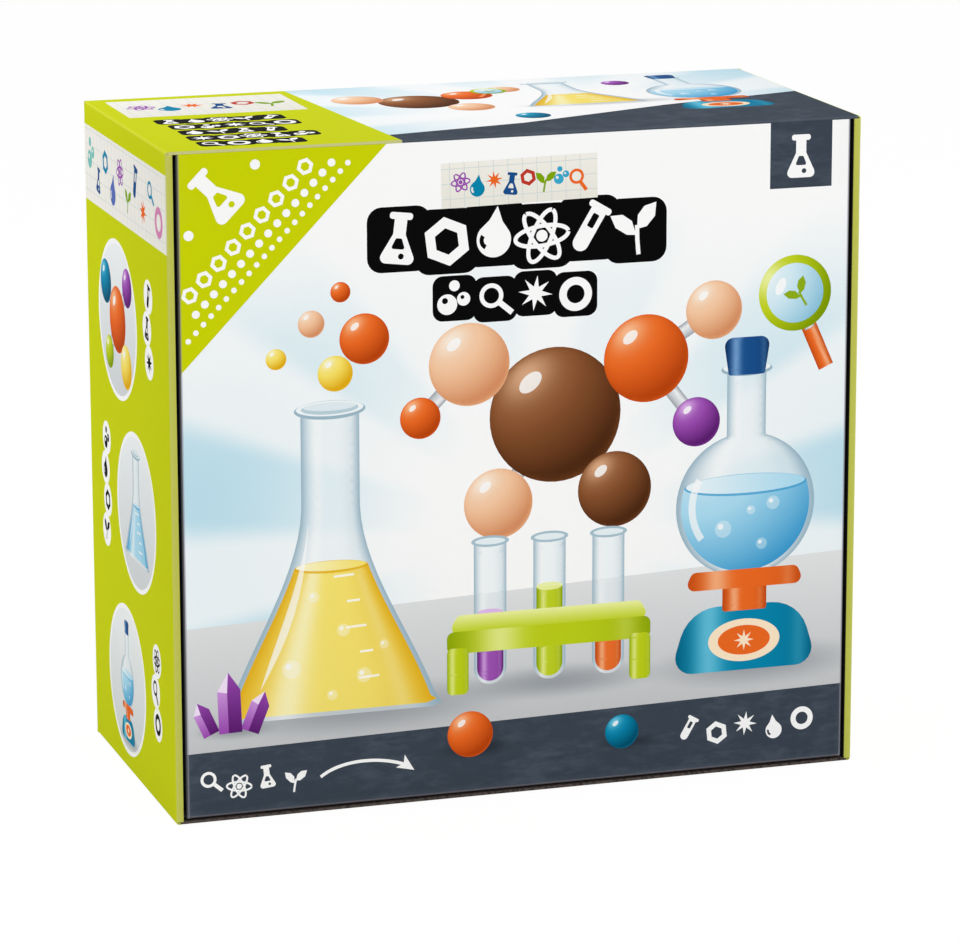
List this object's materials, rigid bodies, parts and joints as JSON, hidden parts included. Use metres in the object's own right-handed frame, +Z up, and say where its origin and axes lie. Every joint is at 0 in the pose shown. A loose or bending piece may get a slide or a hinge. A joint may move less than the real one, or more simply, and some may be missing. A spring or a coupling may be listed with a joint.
{
  "type": "chemistry set case",
  "caption": "Upright board carton whose front is a tuck-in lid, with a card tray that holds a spring scale, beakers, funnel, rack, tubes and pipette.",
  "frame": {"origin": "middle of the underside", "axes": "+Z up; -Y is the lid's face, the front; +X is to the right seen from the front"},
  "size_m": [0.24, 0.115, 0.225],
  "materials": {
    "printed_board": "gloss laminated print",
    "plain_board": "white lined, unprinted inside",
    "tray_card": "white lined card",
    "teal_plastic": "moulded",
    "orange_plastic": "moulded",
    "lime_plastic": "moulded",
    "navy_plastic": "soft moulded",
    "clear_plastic": "clear, polished",
    "white_plastic": "moulded",
    "dial_print": "printed",
    "zinc_steel": "zinc plated",
    "coated_paper": "printed, coated"
  },
  "bodies": {
    "case": {"back_panel": "printed_board", "beaker_divider": "tray_card", "bottom_panel": "printed_board", "dial_plate": "dial_print", "experiment_cards": "coated_paper", "funnel": "teal_plastic", "funnel_divider": "tray_card", "instruction_booklet": "coated_paper", "large_beaker": "clear_plastic", "left_bottom_corner_ear": "plain_board", "left_inner_wall": "plain_board", "left_outer_wall": "printed_board", "left_top_corner_ear": "plain_board", "left_tray_side": "tray_card", "medium_beaker": "clear_plastic", "navy_test_tube": "clear_plastic", "orange_test_tube": "clear_plastic", "pipette_bulb": "navy_plastic", "pipette_tube": "clear_plastic", "press_spring": "zinc_steel", "right_bottom_corner_ear": "plain_board", "right_inner_wall": "plain_board", "right_outer_wall": "printed_board", "right_top_corner_ear": "plain_board", "right_tray_side": "tray_card", "scale_back_shell": "teal_plastic", "scale_base": "teal_plastic", "scale_divider": "tray_card", "scale_front_shell": "teal_plastic", "scale_screws": "zinc_steel", "small_beaker": "clear_plastic", "top_panel": "printed_board", "tray_back": "tray_card", "tray_floor": "tray_card", "tray_roof": "tray_card", "tray_shelf": "tray_card", "tube_rack": "lime_plastic"},
    "lid": {"lid_panel": "printed_board", "left_lid_ear": "plain_board", "right_lid_ear": "plain_board"},
    "lid_flap": {"tuck_flap": "printed_board"},
    "pan": {"weighing_pan": "orange_plastic", "stem_rack": "orange_plastic"},
    "indicator": {"pointer": "lime_plastic", "pointer_axle": "zinc_steel", "pinion": "white_plastic"},
    "navy_plug": {"navy_stopper": "navy_plastic"},
    "orange_plug": {"orange_stopper": "orange_plastic"}
  },
  "joints": [
    {"name": "lid_hinge", "type": "hinge", "parent": "case", "child": "lid", "pos_m": [0, -0.0575, 0.2241], "axis": [-1, 0, 0], "range_deg": [0, 135]},
    {"name": "tuck_flap_crease", "type": "hinge", "parent": "lid", "child": "lid_flap", "pos_m": [0, -0.0566, 0.0017], "axis": [-1, 0, 0], "range_deg": [0, 27]},
    {"name": "pan_press", "type": "slide", "parent": "case", "child": "pan", "axis": [0, 0, -1], "range_m": [0, 0.006], "stiffness_N_per_m": 100, "springref_m": -0.003, "deforming": ["press_spring"]},
    {"name": "pointer_turn", "type": "hinge", "parent": "case", "child": "indicator", "pos_m": [-0.0635, 0.0008, 0.0219], "axis": [0, 1, 0], "range_deg": [0, 85.95]},
    {"name": "navy_stopper_pull", "type": "slide", "parent": "case", "child": "navy_plug", "axis": [0, 0, 1], "range_m": [0, 0.014]},
    {"name": "orange_stopper_pull", "type": "slide", "parent": "case", "child": "orange_plug", "axis": [0, 0, 1], "range_m": [0, 0.014]}
  ],
  "couplings": [
    {"joint": "tuck_flap_crease", "follows": "lid_hinge", "ratio": 0.2},
    {"joint": "pointer_turn", "follows": "pan_press", "rad_per_m": 250}
  ]
}
